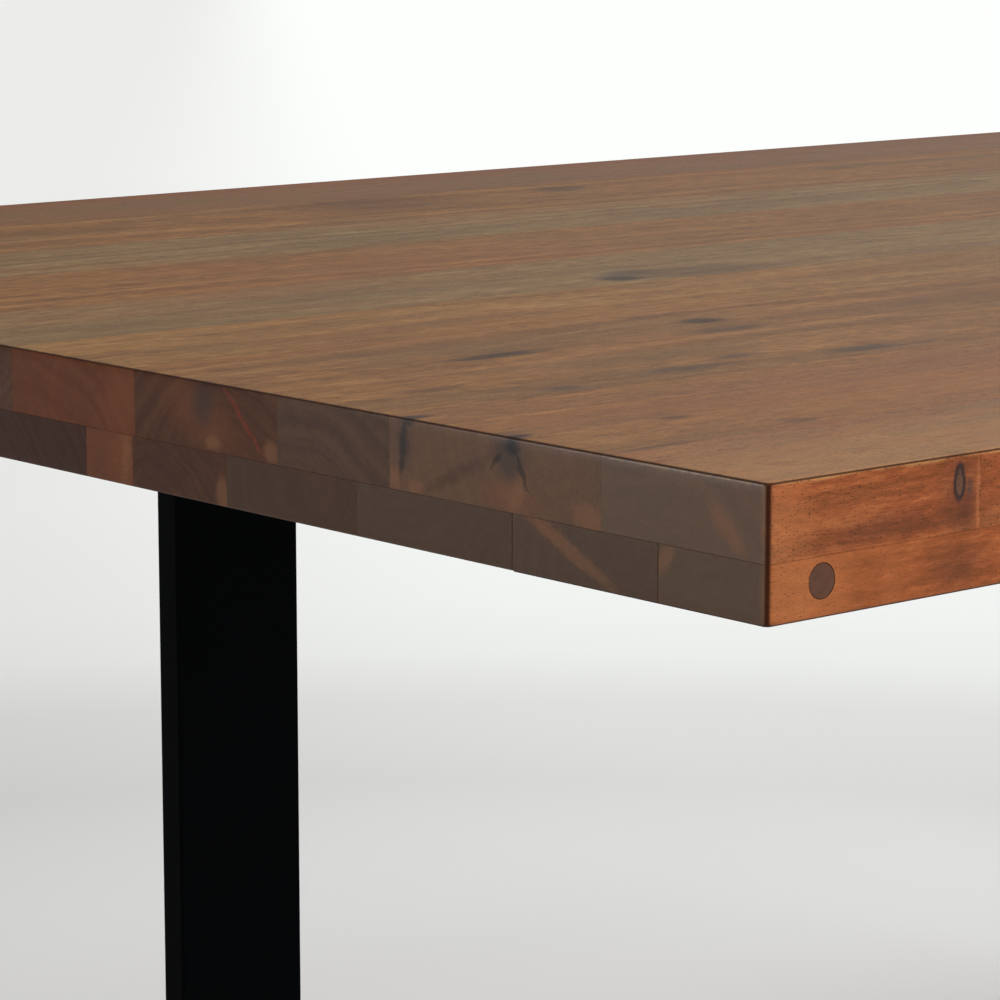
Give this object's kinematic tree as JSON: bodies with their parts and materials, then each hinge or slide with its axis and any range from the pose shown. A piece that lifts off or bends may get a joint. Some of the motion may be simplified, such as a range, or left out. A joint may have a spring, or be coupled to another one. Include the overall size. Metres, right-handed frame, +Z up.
{
  "type": "butcher block table",
  "caption": "Rectangular table with a thick two-layer butcher block top of glued staves on closed rectangular frames of flat black steel tube with levelling glides.",
  "frame": {"origin": "on the floor under the middle of the top, glides fully retracted", "axes": "+X along the grain and the long side, +Y from the front long side to the back one, +Z up"},
  "size_m": [2.032, 1.016, 0.762],
  "materials": {
    "upper_stave_wood": "stained hardwood, satin oil-varnish",
    "lower_stave_wood": "stained hardwood, satin oil-varnish",
    "dowel_wood": "stained hardwood end grain, satin",
    "black_powder_coat": "satin black powder coat on welded steel tube",
    "zinc_plated_steel": "bright zinc plate",
    "glide_nylon": "moulded black nylon"
  },
  "bodies": {
    "table": {"left_back_bolt": "zinc_plated_steel", "left_back_dowel": "dowel_wood", "left_back_glide_nut": "zinc_plated_steel", "left_back_insert": "zinc_plated_steel", "left_back_leg": "black_powder_coat", "left_foot_rail": "black_powder_coat", "left_front_bolt": "zinc_plated_steel", "left_front_dowel": "dowel_wood", "left_front_glide_nut": "zinc_plated_steel", "left_front_insert": "zinc_plated_steel", "left_front_leg": "black_powder_coat", "left_middle_bolt": "zinc_plated_steel", "left_middle_insert": "zinc_plated_steel", "left_top_rail": "black_powder_coat", "lower_stave_01_left": "lower_stave_wood", "lower_stave_01_right": "lower_stave_wood", "lower_stave_02": "lower_stave_wood", "lower_stave_03": "lower_stave_wood", "lower_stave_04": "lower_stave_wood", "lower_stave_05": "lower_stave_wood", "lower_stave_06": "lower_stave_wood", "lower_stave_07": "lower_stave_wood", "lower_stave_08": "lower_stave_wood", "lower_stave_09": "lower_stave_wood", "lower_stave_10": "lower_stave_wood", "lower_stave_11": "lower_stave_wood", "lower_stave_12": "lower_stave_wood", "right_back_bolt": "zinc_plated_steel", "right_back_dowel": "dowel_wood", "right_back_glide_nut": "zinc_plated_steel", "right_back_insert": "zinc_plated_steel", "right_back_leg": "black_powder_coat", "right_foot_rail": "black_powder_coat", "right_front_bolt": "zinc_plated_steel", "right_front_dowel": "dowel_wood", "right_front_glide_nut": "zinc_plated_steel", "right_front_insert": "zinc_plated_steel", "right_front_leg": "black_powder_coat", "right_middle_bolt": "zinc_plated_steel", "right_middle_insert": "zinc_plated_steel", "right_top_rail": "black_powder_coat", "upper_stave_01_left": "upper_stave_wood", "upper_stave_01_right": "upper_stave_wood", "upper_stave_02": "upper_stave_wood", "upper_stave_03_left": "upper_stave_wood", "upper_stave_03_right": "upper_stave_wood", "upper_stave_04": "upper_stave_wood", "upper_stave_05": "upper_stave_wood", "upper_stave_06_left": "upper_stave_wood", "upper_stave_06_right": "upper_stave_wood", "upper_stave_07": "upper_stave_wood", "upper_stave_08": "upper_stave_wood", "upper_stave_09_left": "upper_stave_wood", "upper_stave_09_right": "upper_stave_wood", "upper_stave_10": "upper_stave_wood"},
    "left_back_glide_foot": {"left_back_glide": "glide_nylon"},
    "left_front_glide_foot": {"left_front_glide": "glide_nylon"},
    "right_back_glide_foot": {"right_back_glide": "glide_nylon"},
    "right_front_glide_foot": {"right_front_glide": "glide_nylon"}
  },
  "joints": [
    {"name": "left_back_glide_height", "type": "slide", "parent": "table", "child": "left_back_glide_foot", "axis": [0, 0, -1], "range_m": [0, 0.008]},
    {"name": "left_front_glide_height", "type": "slide", "parent": "table", "child": "left_front_glide_foot", "axis": [0, 0, -1], "range_m": [0, 0.008]},
    {"name": "right_back_glide_height", "type": "slide", "parent": "table", "child": "right_back_glide_foot", "axis": [0, 0, -1], "range_m": [0, 0.008]},
    {"name": "right_front_glide_height", "type": "slide", "parent": "table", "child": "right_front_glide_foot", "axis": [0, 0, -1], "range_m": [0, 0.008]}
  ]
}
